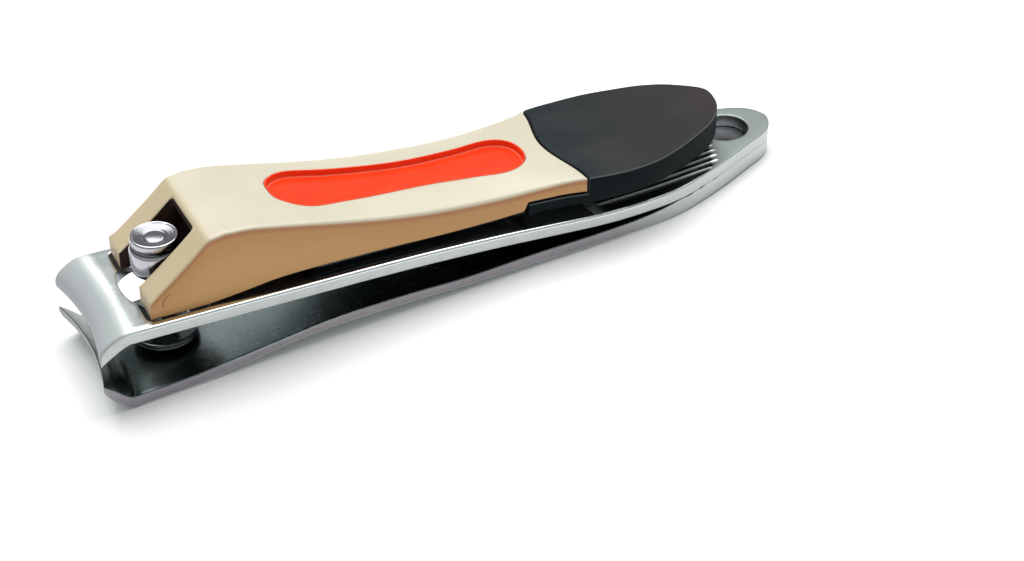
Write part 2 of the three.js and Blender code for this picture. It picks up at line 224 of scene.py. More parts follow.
class Builder:
    """Collects rings of points and the faces between them, then makes one closed mesh object."""

    def __init__(self):
        self.points, self.below, self.faces, self.slots = [], [], [], []

    def ring(self, points, below=0.0):
        start = sum(len(p) for p in self.points)
        self.points.append(np.asarray(points, float))
        self.below.append(np.broadcast_to(below, len(points)).astype(float))
        return np.arange(start, start + len(points))

    def bridge(self, a, b, slot=0):
        """Faces between two rings. slot is one slot, or one for each face."""
        slot = np.broadcast_to(slot, len(a))
        for i in range(len(a)):
            j = (i + 1) % len(a)
            self.faces.append((a[i], a[j], b[j], b[i]))
            self.slots.append(int(slot[i]))

    def fill(self, rings, grid, place, slot=0, chains=()):
        """Fills the region between rings, each (indices, plan points). place takes plan points to space,
        and chains are lines of plan points that the triangles' edges follow."""
        plan = np.vstack([uv for _, uv in rings])
        index = np.concatenate([i for i, _ in rings])
        edges, start = [], 0
        for _, uv in rings:
            n = len(uv)
            edges += [(start + k, start + (k + 1) % n) for k in range(n)]
            start += n
        for chain in chains:
            edges += [(start + k, start + k + 1) for k in range(len(chain) - 1)]
            start += len(chain)
        fixed = np.vstack([plan, *chains])
        grid = grid[inside(grid, [uv for _, uv in rings])]
        near = np.array([np.min(np.sum((fixed - g) ** 2, 1)) for g in grid])
        new = np.vstack([*chains, grid[near > GRID_MARGIN ** 2]])
        index = np.concatenate([index, self.ring(place(new))])
        out = delaunay_2d_cdt([Vector(p) for p in np.vstack([plan, new])], edges, [], 1, 1e-7)
        faces, origin = out[2], out[3]
        for f in outside_holes(faces, origin, [len(uv) for _, uv in rings]):
            if all(len(origin[v]) for v in f):
                self.faces.append(tuple(index[origin[v][0]] for v in f))
                self.slots.append(slot)

    def object(self, name, materials, sharp=38):
        """The mesh object, placed in the row frame."""
        co = np.vstack(self.points)
        mesh = bpy.data.meshes.new(name)
        mesh.from_pydata([TO_FRAME @ Vector(p) for p in co], [], [tuple(map(int, f)) for f in self.faces])
        for m in materials:
            mesh.materials.append(m)
        mesh.polygons.foreach_set("material_index", self.slots)
        layer = mesh.attributes.new("below", "FLOAT", "POINT")
        layer.data.foreach_set("value", np.concatenate(self.below).astype(np.float32))
        work = bmesh.new()
        work.from_mesh(mesh)
        bmesh.ops.recalc_face_normals(work, faces=work.faces)
        work.to_mesh(mesh)
        work.free()
        mesh.polygons.foreach_set("use_smooth", [True] * len(mesh.polygons))
        mesh.set_sharp_from_angle(angle=math.radians(sharp))
        made = bpy.data.objects.new(name, mesh)
        bpy.context.scene.collection.objects.link(made)
        return made


ROUND_ANGLES = (90, 68, 46, 24, 6)


def edge_stack(b, loop, radius, top, bottom, slot, up):
    """Rings of a rounded edge, from the flat out to the wall. Returns their indices and the flat's plan
    points."""
    rings, flat = [], None
    radius = eased(loop, radius)
    for a in np.radians(ROUND_ANGLES):
        plan = inset(loop, radius * (1 - math.cos(a)))
        high, low = (top(plan), bottom(plan)) if up else (bottom(plan), top(plan))
        to = low - high
        size = np.linalg.norm(to, axis=1)[:, None]
        drop = np.minimum(np.broadcast_to(radius, len(plan))[:, None] * (1 - math.sin(a)), 0.45 * size)
        below = drop[:, 0] if up else size[:, 0] - drop[:, 0]
        rings.append(b.ring(high + to / size * drop, below))
        if flat is None:
            flat = plan
    for r, s in zip(rings, rings[1:]):
        b.bridge(r, s, slot)
    return rings, flat


def plate(b, loops, top, bottom, grids, slots, chains=((), ()), pockets=()):
    """A closed plate. loops are (plan loop, top edge radius, bottom edge radius) and perhaps the slot
    of the wall and the loop at the bottom, the outer one counter-clockwise and holes clockwise. slots
    are those of the top, its rounded edge, wall and bottom. pockets are (loop, edge radius, depth,
    grid), sunk in the top."""
    top_rings, bottom_rings = [], []
    for loop, r_top, r_bottom, *rest in loops:
        foot = rest[1] if len(rest) > 1 else loop
        upper, flat_top = edge_stack(b, loop, r_top, top, bottom, slots[1], True)
        lower, flat_bottom = edge_stack(b, foot, r_bottom, top, bottom, slots[3], False)
        b.bridge(upper[-1], lower[-1], rest[0] if rest else slots[2])
        top_rings.append((upper[0], flat_top))
        bottom_rings.append((lower[0], flat_bottom))
    for loop, radius, depth, grid in pockets:
        floor = lambda plan: top(plan) - [0, 0, depth]
        upper, flat = edge_stack(b, loop, radius, top, floor, slots[1], True)
        foot = b.ring(floor(loop), depth)
        b.bridge(upper[-1], foot, slots[2])
        b.fill([(foot, loop)], grid, floor, slots[2])
        top_rings.append((upper[0], flat))
    b.fill(top_rings, grids[0], top, slots[0], chains[0])
    b.fill(bottom_rings, grids[1], bottom, slots[3], chains[1])


def lattice(xs, ys):
    return np.stack(np.meshgrid(xs, ys, indexing="ij"), -1).reshape(-1, 2)


def spread(a, b, step):
    return np.linspace(a, b, max(2, int(round((b - a) / step)) + 1))


def lathe(b, profile, segments=96, axis="z", centre=(0, 0, 0), slots=None):
    """A closed turned solid: profile points are (radius, height), from axis to axis or a closed loop."""
    t = np.arange(segments) * 2 * math.pi / segments
    closed = profile[0][0] > 0
    rings = []
    for r, h in profile:
        if r == 0:
            pts = np.array([[0, 0, h]])
        else:
            pts = np.stack([r * np.cos(t), r * np.sin(t), np.full(segments, h)], 1)
        if axis == "y":
            pts = pts[:, [0, 2, 1]]
        rings.append(b.ring(pts + centre))
    pairs = list(zip(rings, rings[1:])) + ([(rings[-1], rings[0])] if closed else [])
    for k, (p, q) in enumerate(pairs):
        slot = slots[k] if slots else 0
        if len(p) == 1 or len(q) == 1:
            tip, rim = (p[0], q) if len(p) == 1 else (q[0], p)
            for i in range(segments):
                b.faces.append((tip, rim[i], rim[(i + 1) % segments]))
                b.slots.append(slot)
        else:
            b.bridge(p, q, slot)


# ------------------------------------------------------------------ materials
class Nodes:
    """A short way to write a material's node tree."""

    def __init__(self, name, **sockets):
        self.material = bpy.data.materials.new(name)
        self.material.use_nodes = True
        self.tree = self.material.node_tree
        self.shader = self.tree.nodes["Principled BSDF"]
        for key, value in sockets.items():
            self.shader.inputs[key.replace("_", " ")].default_value = value
        coordinates = self.tree.nodes.new("ShaderNodeTexCoord")
        self.place = coordinates.outputs["Object"]

    def node(self, kind, inputs=(), **settings):
        n = self.tree.nodes.new(kind)
        for key, value in settings.items():
            setattr(n, key, value)
        for key, value in dict(inputs).items():
            if isinstance(value, bpy.types.NodeSocket):
                self.tree.links.new(value, n.inputs[key])
            else:
                n.inputs[key].default_value = value
        return n

    def scaled(self, x, y, z):
        """Object coordinates times a scale for each axis, per millimetre."""
        return self.node("ShaderNodeMapping", {
            "Vector": self.place, "Scale": (x * 1e3, y * 1e3, z * 1e3)}).outputs[0]

    def noise(self, scale=(1, 1, 1), detail=3.0, roughness=0.5, distortion=0.0):
        return self.node("ShaderNodeTexNoise", {
            "Vector": self.scaled(*scale), "Scale": 1.0, "Detail": detail,
            "Roughness": roughness, "Distortion": distortion}).outputs["Fac"]

    def remap(self, value, a, b, c, d):
        return self.node("ShaderNodeMapRange", {
            "Value": value, "From Min": a, "From Max": b, "To Min": c, "To Max": d}).outputs[0]

    def step(self, value, a, b):
        """0 to 1, eased, as the value goes from a to b."""
        return self.node("ShaderNodeMapRange", {"Value": value, "From Min": a, "From Max": b},
                         interpolation_type="SMOOTHSTEP").outputs[0]

    def axis(self, k, vector=None):
        """One coordinate of a vector, or of the place in the row frame."""
        return self.node("ShaderNodeSeparateXYZ", {0: vector or self.place}).outputs[k]

    def along(self, a, b, z=0):
        """0 to 1, eased, as x goes from a to b in the clipper's frame, measured at the height z."""
        return self.step(self.axis(0), *[(TO_FRAME @ Vector((x, 0, z))).x for x in (a, b)])

    def math(self, operation, a, b=0.0):
        return self.node("ShaderNodeMath", {0: a, 1: b}, operation=operation).outputs[0]

    def mix(self, factor, a, b):
        n = self.node("ShaderNodeMix", data_type="RGBA")
        for socket, value in (("Factor_Float", factor), ("A_Color", a), ("B_Color", b)):
            target = next(i for i in n.inputs if i.identifier == socket)
            if isinstance(value, bpy.types.NodeSocket):
                self.tree.links.new(value, target)
            else:
                target.default_value = value if isinstance(value, float) else (*value, 1)
        return next(o for o in n.outputs if o.identifier == "Result_Color")

    def below(self):
        """The depth below the piece's top edge, in millimetres, that the mesh holds."""
        return self.node("ShaderNodeAttribute", attribute_name="below",
                         attribute_type="GEOMETRY").outputs["Fac"]

    def color(self, value):
        self.tree.links.new(value, self.shader.inputs["Base Color"])

    def rough(self, value):
        self.tree.links.new(value, self.shader.inputs["Roughness"])

    def bump(self, *layers):
        """Each layer is (height, strength, distance in mm)."""
        normal = None
        for height, strength, distance in layers:
            inputs = {"Height": height, "Strength": strength, "Distance": distance * 1e-3}
            if normal is not None:
                inputs["Normal"] = normal
            normal = self.node("ShaderNodeBump", inputs).outputs[0]
        self.tree.links.new(normal, self.shader.inputs["Normal"])


def chrome(name, tint, base_rough, haze=0.05, tail=None, jaw=None, bands=()):
    """Polished plate: soft waves in the sheet, fine lengthwise scratches, cloudy polish. The tail end and
    the jaw are duller and take their own darker tints, if those are given; these tints are painted shade.
    Each band given is (x0, x1, tint), a painted reflection, and the tint takes over from x0 to x1 on the way
    to the tail."""
    m = Nodes(name, Base_Color=(*tint, 1), Metallic=1.0)
    cloud = m.noise((0.35, 0.5, 0.5), 4)
    scratch = m.noise((0.35, 14, 14), 2, 0.6)
    marks = m.noise((1.3, 5.0, 5.0), 5, 0.65, 0.4)
    rough = m.math("ADD", m.remap(cloud, 0.3, 0.7, base_rough, base_rough + haze),
                   m.remap(scratch, 0.45, 0.8, 0.0, 0.05))
    if tail:
        dull_and_shaded, bent = m.along(50, 63), m.along(-4.4, -6.8)
        more = m.math("ADD", m.math("MULTIPLY", dull_and_shaded, 0.26), m.math("MULTIPLY", bent, 0.5))
        rough = m.math("ADD", rough, more)
        # the tail and jaw tints darken the chrome as painted shade
        m.color(m.mix(bent, m.mix(dull_and_shaded, tint, tail), jaw))
        m.tree.links.new(m.remap(bent, 0, 1, 1.0, 0.25), m.shader.inputs["Metallic"])
    colour = tint
    # the bands paint reflections in by position
    for x0, x1, other in bands:
        colour = m.mix(m.along(x0, x1, -4), colour, other)
    if bands:
        m.color(colour)
    m.rough(rough)
    m.bump((m.noise((0.12, 0.2, 0.2), 2), 0.25, 0.05), (scratch, 0.05, 0.01), (marks, 0.04, 0.01))
    return m.material


def satin(name, tint, rough, metallic=1.0, tail=None):
    """Sheared and ground edge: short marks across the thickness, matt grey, with another tint at the tail."""
    m = Nodes(name, Metallic=metallic)
    shear = m.noise((9, 9, 0.9), 4, 0.7)
    patch = m.noise((0.5, 0.5, 0.8), 3)
    colour = m.mix(m.remap(patch, 0.35, 0.7, 0, 1), tint, tuple(c * 0.88 for c in tint))
    if tail:
        colour = m.mix(m.along(44, 62), colour, tail)
    m.color(colour)
    m.rough(m.remap(shear, 0.3, 0.75, rough - 0.06, rough + 0.12))
    m.bump((shear, 0.35, 0.03), (m.noise((22, 22, 4), 2), 0.2, 0.01))
    return m.material


def paint(name):
    """Pearl paint, with painted light: cream on the top faces as lit and gold down the walls as shaded,
    a red-brown line of painted shade where it turns over the ridge, a few specks, and the faint arc that the
    cross pin's end leaves under the paint, drawn only on its dark side as painted shade."""
    m = Nodes(name, Metallic=0.05, Coat_Weight=0.12, Coat_Roughness=0.25, Specular_IOR_Level=0.35)
    below = m.below()
    # painted light: the top faces cream as lit, the walls gold as shaded and lighter further down
    wall = m.step(below, 0.05, 0.42)
    # the red-brown line on the ridge's rounding is painted shade
    line = m.math("MULTIPLY", m.step(below, 0.12, 0.34), m.step(below, 0.95, 0.42))
    cloud = m.noise((0.08, 0.12, 0.12), 3)
    top = m.mix(m.remap(cloud, 0.3, 0.7, 0, 1), (0.53, 0.485, 0.36), (0.57, 0.525, 0.41))
    side = m.mix(m.step(below, 0.5, 4.5), (0.465, 0.225, 0.062), (0.52, 0.272, 0.083))
    flake = m.noise((30, 30, 30), 1)
    top = m.mix(m.along(4.6, 3.2, 6), top, (0.53, 0.44, 0.27))       # the sloping nose is a warmer, darker cream, as painted shade
    colour = m.mix(wall, top, side)
    # painted shade: the red-brown line over the ridge
    colour = m.mix(m.math("MULTIPLY", line, 0.7), colour, (0.36, 0.13, 0.04))
    colour = m.mix(m.remap(flake, 0.3, 0.7, 0, 0.05), colour, (1, 0.95, 0.85))
    speck = m.node("ShaderNodeTexVoronoi", {"Vector": m.scaled(0.22, 0.22, 0.22), "Scale": 1.0})
    colour = m.mix(m.step(speck.outputs["Distance"], 0.026, 0.012), colour, (0.10, 0.06, 0.04))
    # painted shade: the ring over the pin's end is real, but it is drawn only on its upper-left arc, dark
    centre = TO_FRAME @ Vector(PIN_MARK)
    shift = m.node("ShaderNodeVectorMath", {0: m.place, 1: centre}, operation="SUBTRACT").outputs[0]
    flat = m.node("ShaderNodeVectorMath", {0: shift, 1: (1e3, 0, 1e3)}, operation="MULTIPLY").outputs[0]
    away = m.node("ShaderNodeVectorMath", {0: flat}, operation="LENGTH").outputs["Value"]
    ring = m.step(m.math("ABSOLUTE", m.math("SUBTRACT", away, PIN_MARK_R)), 0.09, 0.02)
    part = m.math("MULTIPLY", m.step(m.axis(0, flat), 0.3, -0.1), m.step(m.axis(2, flat), -0.5, -0.1))
    mark = m.math("MULTIPLY", m.math("MULTIPLY", ring, part), m.math("MULTIPLY", wall, 0.85))
    colour = m.mix(mark, colour, (0.10, 0.05, 0.02))
    m.color(colour)
    m.rough(m.remap(m.noise((1.2, 1.2, 1.2), 4), 0.3, 0.7, 0.36, 0.46))
    m.bump((m.noise((5, 5, 5), 2), 0.06, 0.02), (flake, 0.05, 0.004))
    return m.material


def file_steel(name):
    """The file: bright crests, with its flats and grooves darkened as painted shade along a noisy edge."""
    m = Nodes(name, Metallic=0.55)
    wear_and_shade_noise = m.noise((2.0, 5, 5), 4, 0.6)
    edge = m.math("ADD", m.below(), m.remap(wear_and_shade_noise, 0.3, 0.7, -0.03, 0.05))
    # painted shade: the flats mid-dark, the grooves near black
    flat = m.mix(m.step(edge, 0.03, 0.16), (0.33, 0.37, 0.36), (0.024, 0.028, 0.030))
    m.color(m.mix(m.step(m.below(), -0.02, -0.06), flat, (0.88, 0.90, 0.89)))
    m.rough(m.remap(wear_and_shade_noise, 0.3, 0.7, 0.34, 0.5))
    m.bump((m.noise((1.5, 9, 9), 3), 0.2, 0.02))
    return m.material


def dark_inside(name):
    """The cover's slot walls and underside, painted dark brown as the shade of the cavity, with mottled tone.
    """
    m = Nodes(name, Specular_IOR_Level=0.25)
    shade_mottle = m.remap(m.noise((1, 1, 1), 3), 0.3, 0.7, 0, 1)
    m.color(m.mix(shade_mottle, (0.020, 0.010, 0.007), (0.045, 0.022, 0.014)))
    m.rough(m.remap(m.noise((2, 2, 2), 3), 0.3, 0.7, 0.4, 0.6))
    m.bump((m.noise((3, 3, 3), 3), 0.2, 0.05))
    return m.material


def glossy_plastic(name):
    """The inlay: a lighter lip round the edge and a thin glint where its floor begins, both painted light."""
    m = Nodes(name, Coat_Weight=0.05, Coat_Roughness=0.12, Specular_IOR_Level=0.15)
    below = m.below()
    # painted light: the lip made lighter, as lit
    lip = m.remap(below, 0.0, 0.5, 1, 0)
    cloud = m.remap(m.noise((0.3, 0.5, 0.5), 3), 0.3, 0.7, 0, 1)
    body = m.mix(cloud, (0.80, 0.036, 0.006), (0.84, 0.048, 0.009))
    colour = m.mix(lip, body, (0.96, 0.075, 0.022))
    # a painted highlight where the floor begins
    glint = m.math("MULTIPLY", m.step(below, 0.64, 0.7), m.step(below, 0.775, 0.735))
    m.color(m.mix(m.math("MULTIPLY", glint, 0.55), colour, (0.90, 0.22, 0.13)))
    m.rough(m.remap(m.noise((8, 8, 8), 2), 0.3, 0.7, 0.22, 0.34))
    m.bump((m.noise((7, 7, 7), 3), 0.12, 0.012))
    return m.material


def grip_plastic(name):
    """Charcoal grip: fine matt grain on top; smoother walls, painted darker as shade; a light rim line as a
    painted highlight.
    """
    m = Nodes(name, Specular_IOR_Level=0.08)
    below = m.below()
    # painted shade: the walls darker than the top
    wall = m.step(below, 0.08, 0.3)
    # a painted highlight: the light rim line along the top edge
    rim = m.math("MULTIPLY", m.step(below, 0.0, 0.05), m.step(below, 0.14, 0.07))
    patch = m.remap(m.noise((0.1, 0.2, 0.2), 3), 0.35, 0.65, 0, 1)
    tint = m.mix(patch, (0.014, 0.021, 0.023), (0.029, 0.032, 0.033))
    tint = m.mix(m.remap(m.axis(0), 0.014, 0.034, 0, 0.8), tint, (0.036, 0.028, 0.027))
    colour = m.mix(wall, tint, (0.0012, 0.0062, 0.0066))
    m.color(m.mix(m.math("MULTIPLY", rim, 0.8), colour, (0.14, 0.15, 0.15)))
    grain = m.noise((16, 16, 16), 2, 0.6)
    m.rough(m.remap(grain, 0.3, 0.7, 0.5, 0.62))
    m.bump((grain, 0.25, 0.015), (m.noise((2, 2, 2), 3), 0.1, 0.03))
    return m.material


PIN_MARK, PIN_MARK_R = (-0.75, 0, 1.65), 0.9     # of the arc over the cross pin's end
TAIL_EDGE = (0.56, 0.60, 0.585)

# Outer chrome: its dark tail tint and darker, less metallic jaw are painted shade.
CHROME_ARM = chrome("arm_chrome", (0.78, 0.83, 0.82), 0.15,
                    tail=(0.24, 0.27, 0.26), jaw=(0.41, 0.44, 0.44))
# Inner faces: the arm chrome painted dark as the shade between the arms; its bands are painted reflections.
CHROME_INNER_SHADE = chrome("arm_inner_chrome_painted_shade", (0.12, 0.145, 0.145), 0.2, 0.08,
                      bands=((0.5, 4.5, (0.41, 0.45, 0.45)), (11, 23, (0.09, 0.11, 0.11))))
SATIN_EDGE = satin("arm_cut_edge", (0.57, 0.60, 0.59), 0.42, 0.55, TAIL_EDGE)
# The lower arm's cut edge: the same edge painted darker as shade, lightening to TAIL_EDGE where the arms
# meet.
SATIN_EDGE_LOW_SHADE = satin("lower_arm_cut_edge_painted_shade", (0.33, 0.31, 0.33), 0.42, 0.6, TAIL_EDGE)
# The file's steel, its flats and grooves painted dark as shade.
FILE_STEEL = file_steel("file_steel")
# Hole walls: the cut edge painted dark as the shade inside the holes.
HOLE_WALL_SHADE = satin("hole_wall_painted_shade", (0.24, 0.25, 0.26), 0.3)
CHROME_POST = chrome("post_chrome", (0.47, 0.46, 0.49), 0.1)
POST_FACE = satin("post_face", (0.24, 0.24, 0.26), 0.18)
# Dark steel of the collar, also put on the post's shaft and the groove under its head as painted shade.
COLLAR_AND_SHADE_STEEL = chrome("collar_steel_and_painted_shade", (0.10, 0.11, 0.115), 0.22)
PIN_STEEL = satin("pin_steel", (0.6, 0.6, 0.6), 0.3)
PAINT = paint("cover_paint")
# Painted shade for the cover's slot walls and underside.
INSIDE = dark_inside("cover_inside_painted_shade")
INLAY = glossy_plastic("inlay_plastic")
GRIP = grip_plastic("grip_plastic")

# ------------------------------------------------------------------ arms
def table_z(x):
    """The table's plane, which the clipper's own frame is tilted against."""
    return REST_Z + math.tan(REST_TILT) * (x - REST_X)


upper_back = smooth([(20, ARM_TOP_Z), (27, 0.02), (35, -0.2), (42, -0.5), (48, -0.7), (54, -0.5),
                     (60, -0.02), (66, 0.5), (TAIL_X, 0.92)])


def upper_top_z(x):
    return np.where(np.asarray(x) < 20, ARM_TOP_Z, upper_back(x))


ARM_SIDE = [(20, 7.7), (35, 7.85), (47, 8.1), (53, 8.08), (57, 7.78), (60, 7.05),
            (64, 5.75), (68, 4.15), (70.5, 3.1), (71.95, 1.85), (TAIL_X, 0)]
arm_half = smooth(ARM_SIDE)


def arm_outline(front):
    """Either arm's outline from front on, counter-clockwise."""
    side = [(front, 7.7)] + ARM_SIDE
    near = [(x, -y) for x, y in side]
    whole = near + side[::-1][1:]
    line = curve([(front - 28, -7.7)] + whole + [(front - 28, 7.7)])
    ahead = np.where(line[:, 0] >= front - 1e-9)[0]
    return dense(line[ahead[0]:ahead[-1] + 1])


def bowed(points, slope=0.0):
    """Bows the jaw back in the middle."""
    x, y = points[:, 0], points[:, 1]
    across = np.maximum(0, 1 - (y / ARM_HALF_WIDTH) ** 2)
    dx = JAW_BOW * across * smoothstep((BOW_END_X - x) / 3)
    return points + np.stack([dx, 0 * dx, slope * dx], 1)


def bent(jaw, z, front, flat, slope=0.0):
    """Takes plan points (u, y) to space: u is x on the straight part, behind flat, and the length along
    the bend of the jaw before it, from front on."""
    jaw = curve(jaw, 0.1)

    def place(plan):
        u, y = plan[:, 0], plan[:, 1]
        bend = along(jaw, np.clip((u - front) / (flat - front), 0, 1))
        straight = u >= flat
        x = np.where(straight, u, bend[:, 0])
        h = np.where(straight, z(np.maximum(u, flat)), bend[:, 1])
        return bowed(np.stack([x, y, h], 1), slope)

    return place


UPPER_OUTER = [(-8.76, -3.08), (-8.92, -2.4), (-8.8, -1.7), (-8.4, -1.15), (-7.8, -0.66), (-7.1, -0.24),
               (-6.35, 0.03), (FLAT_X, ARM_TOP_Z)]
UPPER_INNER = [(-8.7, -3.12), (-7.95, -2.62), (-7.1, -2.08), (-6.4, -1.66),
               (FLAT_X, ARM_TOP_Z - ARM_THICKNESS)]
U_FRONT = FLAT_X - lengths(curve(UPPER_OUTER, 0.1))[-1]

FILE = {"x0": 46.0, "ramp": 4.0, "x1": 64.5, "pitch": 0.93, "count": 14, "depth": 0.34, "margin": 0.3,
        "crest": 0.08}
FILE_SLOT, HOLE_SLOT, LOWER_HOLE_SLOT = 3, 4, 3      # material slots beyond those of a plate


def file_depth(x, y):
    """How deep the file's recess is below the upper arm's top; its ridges stand a little above and run
    on past the recess."""
    end = FILE["x1"] - 0.045 * y * y
    phase = np.abs((y / FILE["pitch"] + 0.5) % 1.0 - 0.5) * 2     # 1 on a ridge, 0 in a groove
    phase = np.where(np.abs(y) < FILE["pitch"] * FILE["count"] / 2, phase, 0)
    start = smoothstep((x - FILE["x0"]) / FILE["ramp"])
    edge = arm_half(x) - FILE["margin"] - np.abs(y)
    cut = smoothstep((0.80 - phase) / 0.26) * start * smoothstep((end - 0.85 - x) / 0.3 + 0.5) \
        * smoothstep(edge / 0.2 + 0.5)
    crest = smoothstep((phase - 0.62) / 0.3) * start * smoothstep((end - x) / 0.25) \
        * smoothstep(edge / 0.2 - 0.5)
    return FILE["depth"] * cut - FILE["crest"] * crest


upper_uncut = bent(UPPER_OUTER, upper_top_z, U_FRONT, FLAT_X)
upper_bottom = bent(UPPER_INNER, lambda x: upper_top_z(x) - ARM_THICKNESS, U_FRONT, FLAT_X)


def upper_top(plan):
    depth = file_depth(plan[:, 0], plan[:, 1])
    return upper_uncut(plan) - np.stack([0 * depth, 0 * depth, depth], 1)


def post_opening(wx):
    """Round hole with a wing under each leg of the lever, clockwise. wx is half the wings' length."""
    wy, r, hole = 6.82, 0.9, 4.6
    meet = math.sqrt(hole ** 2 - wx ** 2)
    a = math.degrees(math.atan2(meet, wx))
    wing_side = [(wx, meet + (wy - r - meet) * t) for t in np.linspace(0, 1, 9)[1:-1]]
    wing_end = [((wx - r) * (1 - t), wy) for t in np.linspace(0, 1, 8)[1:-1]]
    quarter = [*arc(0, 0, hole, 0, a, 16)][1:] + wing_side + [*arc(wx - r, wy - r, r, 0, 90, 8)] + wing_end
    half = [(hole, 0)] + quarter + [(0, wy)] + [(-x, y) for x, y in quarter[::-1]] + [(-hole, 0)]
    return np.array(half + [(x, -y) for x, y in half[::-1][1:-1]])[::-1]


def edge_radius(loop, high, low, r):
    """Rounding of an arm's edge, less where the jaw thins to its cutting edge."""
    thin = np.linalg.norm(high(loop) - low(loop), axis=1)
    return np.minimum(r, 0.3 * thin)


def upper_arm():
    b = Builder()
    outline = arm_outline(U_FRONT)
    hole = arc(HOLE_X, 0, HOLE_R, 360, 0, 73)[:-1]
    ridge = (np.arange(FILE["count"] * 8 + 1) / 8 - FILE["count"] / 2) * FILE["pitch"]
    xs = np.concatenate([spread(U_FRONT, FLAT_X + 0.6, 0.16), spread(-4.6, 44, 0.7)])
    ahead = lattice(xs, spread(-7.4, 7.4, 0.6))
    behind = lattice(spread(64.8, TAIL_X, 0.5), spread(-7, 7, 0.5))
    top_grid = np.vstack([ahead, lattice(spread(46, 53.5, 0.35), ridge),
                          lattice(spread(44.7, 53.5, 0.5), [-7.5, -7, 7, 7.5]),
                          lattice(spread(53.8, 64.7, 0.16), ridge),
                          lattice(spread(53.8, 60.0, 0.3), [-7.6, -7.35, -7.1, -6.85, 6.85, 7.1, 7.35, 7.6]),
                          behind])
    low_grid = np.vstack([ahead, lattice(spread(44.7, 64.2, 0.7), spread(-7.9, 7.9, 0.7)), behind])
    # the polished bevel fades out towards the tail, where the two arms' sides meet
    tail = smoothstep((outline[:, 0] - 52) / 10)
    loops = [(outline, edge_radius(outline, upper_top, upper_bottom, 0.34 - 0.24 * tail),
              edge_radius(outline, upper_top, upper_bottom, 0.12 - 0.105 * tail)),
             (post_opening(3.35), 0.12, 0.1, HOLE_SLOT, post_opening(1.45)), (hole, 0.16, 0.1, HOLE_SLOT)]
    plate(b, loops, upper_top, upper_bottom, (top_grid, low_grid), (0, 0, 1, 2))
    # the file's grooves are told apart from its crests by their depth
    x, y, z = np.vstack(b.points).T
    cut = (x > 42) & (z > upper_top_z(x) - 0.6) & (np.abs(y) < arm_half(x) - 0.2)
    depth = np.where(cut, file_depth(x, y), 0)
    b.below = [np.where(cut, depth, np.concatenate(b.below))]
    for k, face in enumerate(b.faces):
        if b.slots[k] == 0 and np.max(np.abs(depth[list(face)])) > 0.005:
            b.slots[k] = FILE_SLOT
    return b.object("upper_arm_steel", [CHROME_ARM, SATIN_EDGE, CHROME_INNER_SHADE, FILE_STEEL, HOLE_WALL_SHADE])


def lower_arm():
    """The lower leaf, with its slots the other way up: the inner face is its top."""
    seam = lambda x: upper_top_z(x) - ARM_THICKNESS - 0.008
    floor_line = smooth([(-5.9, -7.72), (-1, -7.35), (3.3, -6.85), (10.3, -5.75), (15.2, -5.0), (23.3, -4.45),
                         (31, -4.28), (39.4, -3.55), (47, -3.05), (53, -2.45), (57, float(seam(57)))])
    under_line = smooth([(0, table_z(0)), (5.4, -7.68), (10.2, -6.75), (15.1, -6.05), (23.3, -5.62),
                         (31, -5.4), (39.4, -4.85), (49, table_z(49))])
    # small unevenness of the closed seam, which shows as short dark dashes
    dashes = lambda x: 0.10 * np.exp(-((x - 58.4) / 0.5) ** 2) + 0.13 * np.exp(-((x - 60.2) / 0.45) ** 2) \
        + 0.08 * np.exp(-((x - 62.3) / 0.35) ** 2)
    floor_z = lambda x: np.where(x < 57, floor_line(x), seam(x) - dashes(x))
    under_z = lambda x: np.where(x < 0, table_z(x), np.where(x > 49, table_z(x), under_line(x)))
    outer = [(-8.84, -6.1), (-8.68, -6.72), (-8.3, -7.3), (-7.42, -8.2), (-6.6, -8.92), (-6.25, -9.08),
             (-5.8, -9.11), (LOWER_FLAT_X, float(table_z(LOWER_FLAT_X)))]
    inner = [(JAW_X, -5.5), (-8.0, -6.1), (-7.3, -6.72), (-6.62, -7.33), (-5.9, -7.72),
             (LOWER_FLAT_X, float(floor_line(LOWER_FLAT_X)))]
    front = LOWER_FLAT_X - lengths(curve(inner, 0.1))[-1]
    top = bent(inner, floor_z, front, LOWER_FLAT_X)
    bottom = bent(outer, under_z, front, LOWER_FLAT_X, math.tan(REST_TILT))
    b = Builder()
    outline = arm_outline(front)
    hole = arc(HOLE_X, 0, HOLE_R, 360, 0, 73)[:-1]
    bore = arc(0, 0, 1.7, 360, 0, 49)[:-1]
    xs = np.concatenate([spread(front, LOWER_FLAT_X + 0.8, 0.16), spread(-4.2, TAIL_X, 0.6)])
    grid = lattice(xs, spread(-7.8, 7.8, 0.6))
    tail = smoothstep((outline[:, 0] - 55) / 6)
    loops = [(outline, edge_radius(outline, top, bottom, 0.1 - 0.085 * tail),
              edge_radius(outline, top, bottom, 0.22)),
             (bore, 0.1, 0.1, LOWER_HOLE_SLOT), (hole, 0.1, 0.3, LOWER_HOLE_SLOT)]
    plate(b, loops, top, bottom, (grid, grid), (0, 0, 1, 2))
    return b.object("lower_arm_steel", [CHROME_INNER_SHADE, SATIN_EDGE_LOW_SHADE, CHROME_ARM, HOLE_WALL_SHADE], 30)


